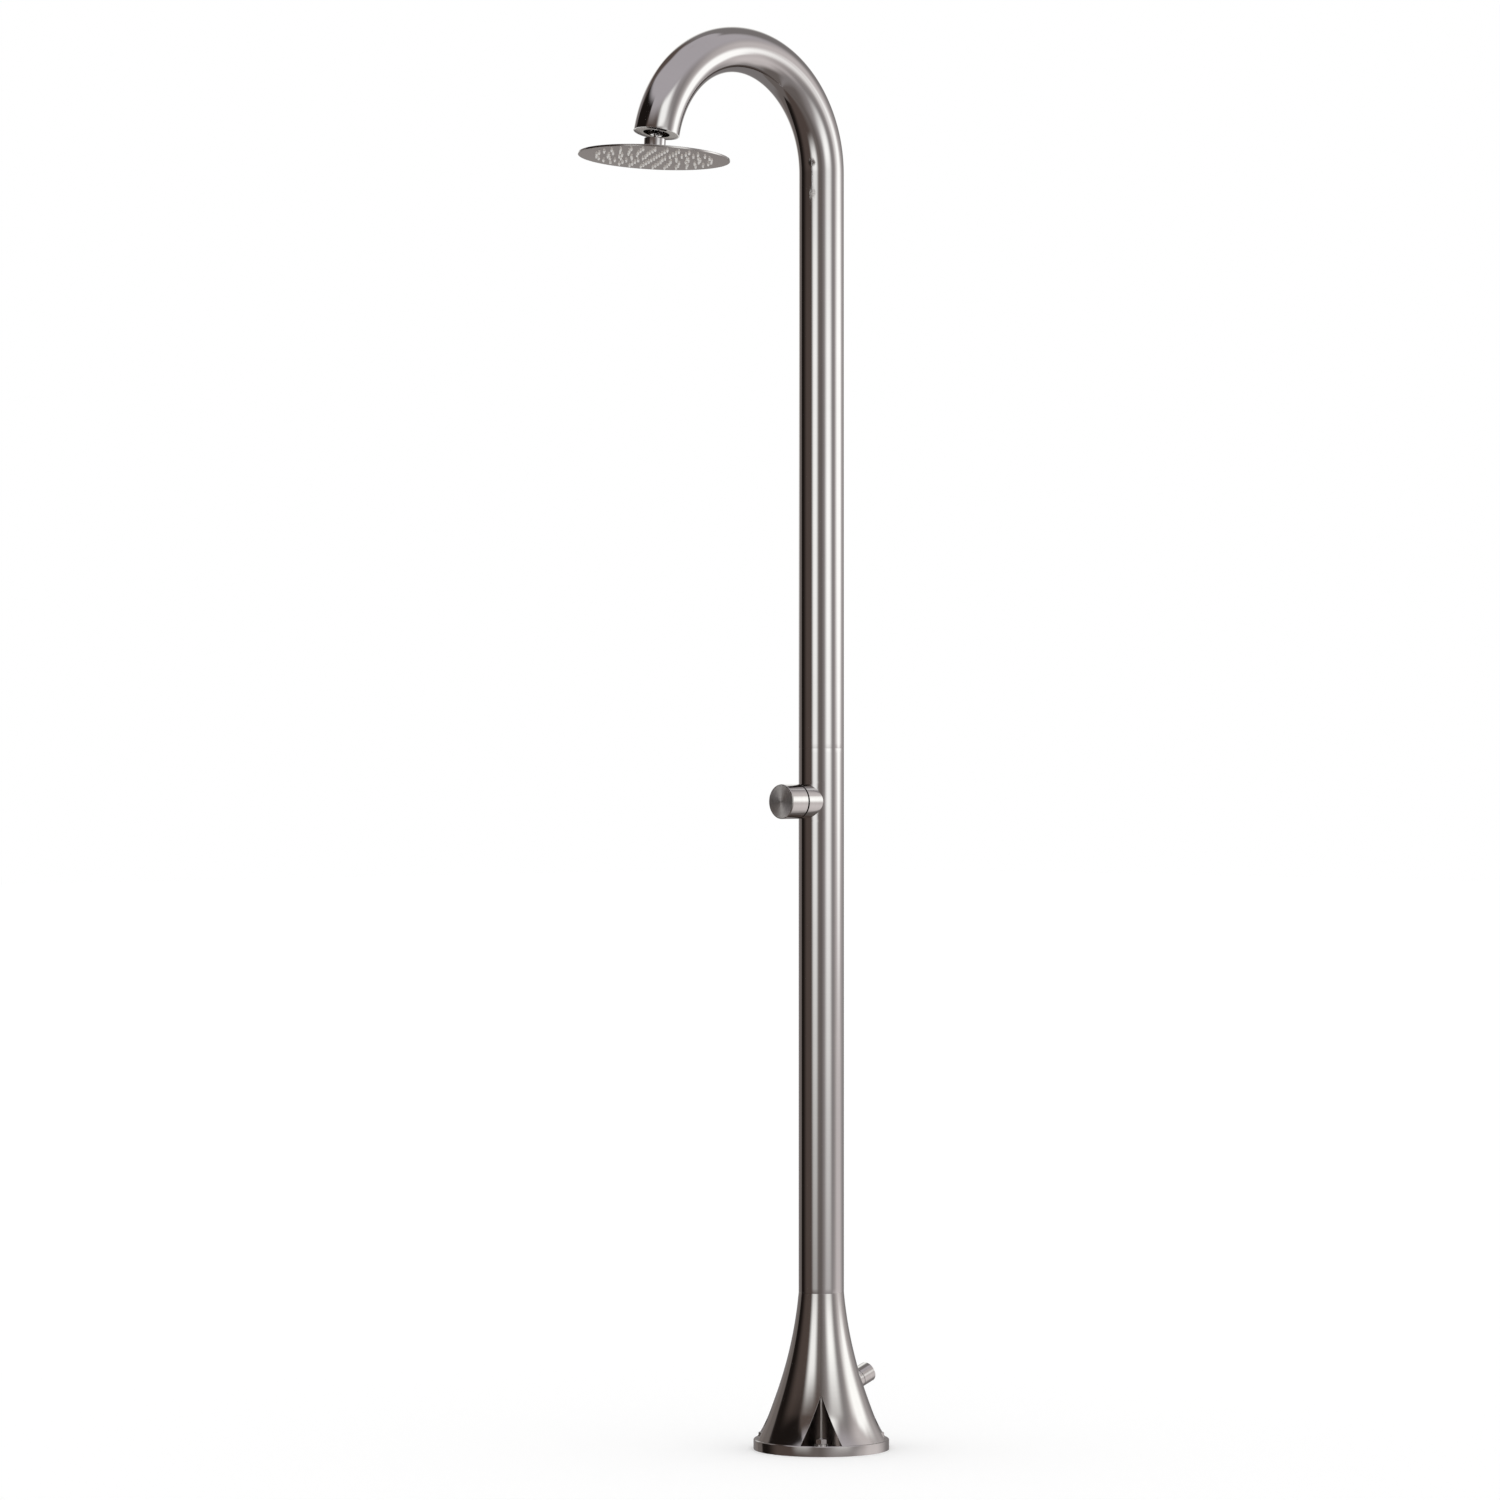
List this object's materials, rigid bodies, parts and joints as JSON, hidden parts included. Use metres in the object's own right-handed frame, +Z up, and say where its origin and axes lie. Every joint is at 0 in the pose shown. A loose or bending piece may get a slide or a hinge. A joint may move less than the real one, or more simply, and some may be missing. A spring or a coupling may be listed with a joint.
{
  "type": "outdoor shower post",
  "caption": "Free-standing outdoor shower column on a flared foot, with a gooseneck, a tilting disc rain head, a round control knob and a foot tap.",
  "frame": {"origin": "centre of the foot plate's underside, on the column's axis", "axes": "+Z up the column, -Y towards the shower head and the control knob, +Y towards the foot tap"},
  "size_m": [0.2294, 0.5779, 2.1857],
  "materials": {
    "column_steel": "satin brushed",
    "foot_steel": "satin brushed",
    "knob_steel": "fine turned brushing",
    "head_steel": "brushed",
    "chrome": "polished",
    "brass": "machined",
    "braided_hose": "steel braid over rubber",
    "fastener_steel": "bright zinc",
    "pipe_steel": "drawn",
    "silicone": "matt silicone",
    "liner_plastic": "acetal"
  },
  "bodies": {
    "post": {"lower_column": "column_steel", "upper_column": "column_steel", "mouth_ring": "column_steel", "base_plate": "foot_steel", "base_flare": "foot_steel", "foot_core_tube": "foot_steel", "gusset_1": "foot_steel", "gusset_2": "foot_steel", "gusset_3": "foot_steel", "gusset_4": "foot_steel", "joint_spigot": "foot_steel", "valve_boss": "knob_steel", "foot_tap_boss": "knob_steel", "ball_stud": "chrome", "foot_outlet_insert": "chrome", "mixer_body": "brass", "outlet_carrier": "brass", "riser_lower_nut": "brass", "riser_upper_nut": "brass", "cold_tee": "brass", "cartridge_nut": "brass", "foot_tap_body": "brass", "foot_tap_nipple": "brass", "cold_supply_nut": "brass", "hot_supply_nut": "brass", "cold_hose_lower": "braided_hose", "cold_hose_upper": "braided_hose", "hot_hose": "braided_hose", "foot_feed_hose": "braided_hose", "anchor_washers": "fastener_steel", "anchor_nuts": "fastener_steel", "column_set_screws": "fastener_steel", "hose_ferrules": "fastener_steel", "riser_pipe": "pipe_steel", "cartridge_body": "liner_plastic"},
    "control": {"control_knob": "knob_steel", "cartridge_stem": "fastener_steel", "knob_grub_screw": "fastener_steel"},
    "foot_tap": {"foot_tap_knob": "knob_steel", "foot_tap_spindle": "fastener_steel", "foot_knob_screw": "fastener_steel"},
    "tilt_ring": {"upper_ball_liner": "liner_plastic"},
    "roll_ring": {"lower_ball_liner": "liner_plastic"},
    "shower_head": {"head_collar": "chrome", "head_back_shell": "head_steel", "face_plate": "head_steel", "nozzle_mat": "silicone"}
  },
  "joints": [
    {"name": "control_turn", "type": "hinge", "parent": "post", "child": "control", "pos_m": [0, -0.0708, 1.0025], "axis": [0, -1, 0], "range_deg": [0, 100]},
    {"name": "foot_tap_turn", "type": "hinge", "parent": "post", "child": "foot_tap", "pos_m": [0, 0.09115, 0.10738], "axis": [0, 0.9397, 0.342], "range_deg": [0, 90]},
    {"name": "head_tilt", "type": "hinge", "parent": "post", "child": "tilt_ring", "pos_m": [0, -0.35403, 1.99177], "axis": [1, 0, 0], "range_deg": [-22, 7]},
    {"name": "head_roll", "type": "hinge", "parent": "tilt_ring", "child": "roll_ring", "pos_m": [0, -0.35403, 1.99177], "axis": [0, 0.9977, -0.068], "range_deg": [-15, 15]},
    {"name": "head_spin", "type": "hinge", "parent": "roll_ring", "child": "shower_head", "pos_m": [0, -0.35403, 1.99177], "axis": [0, 0.068, 0.9977], "continuous": true}
  ]
}
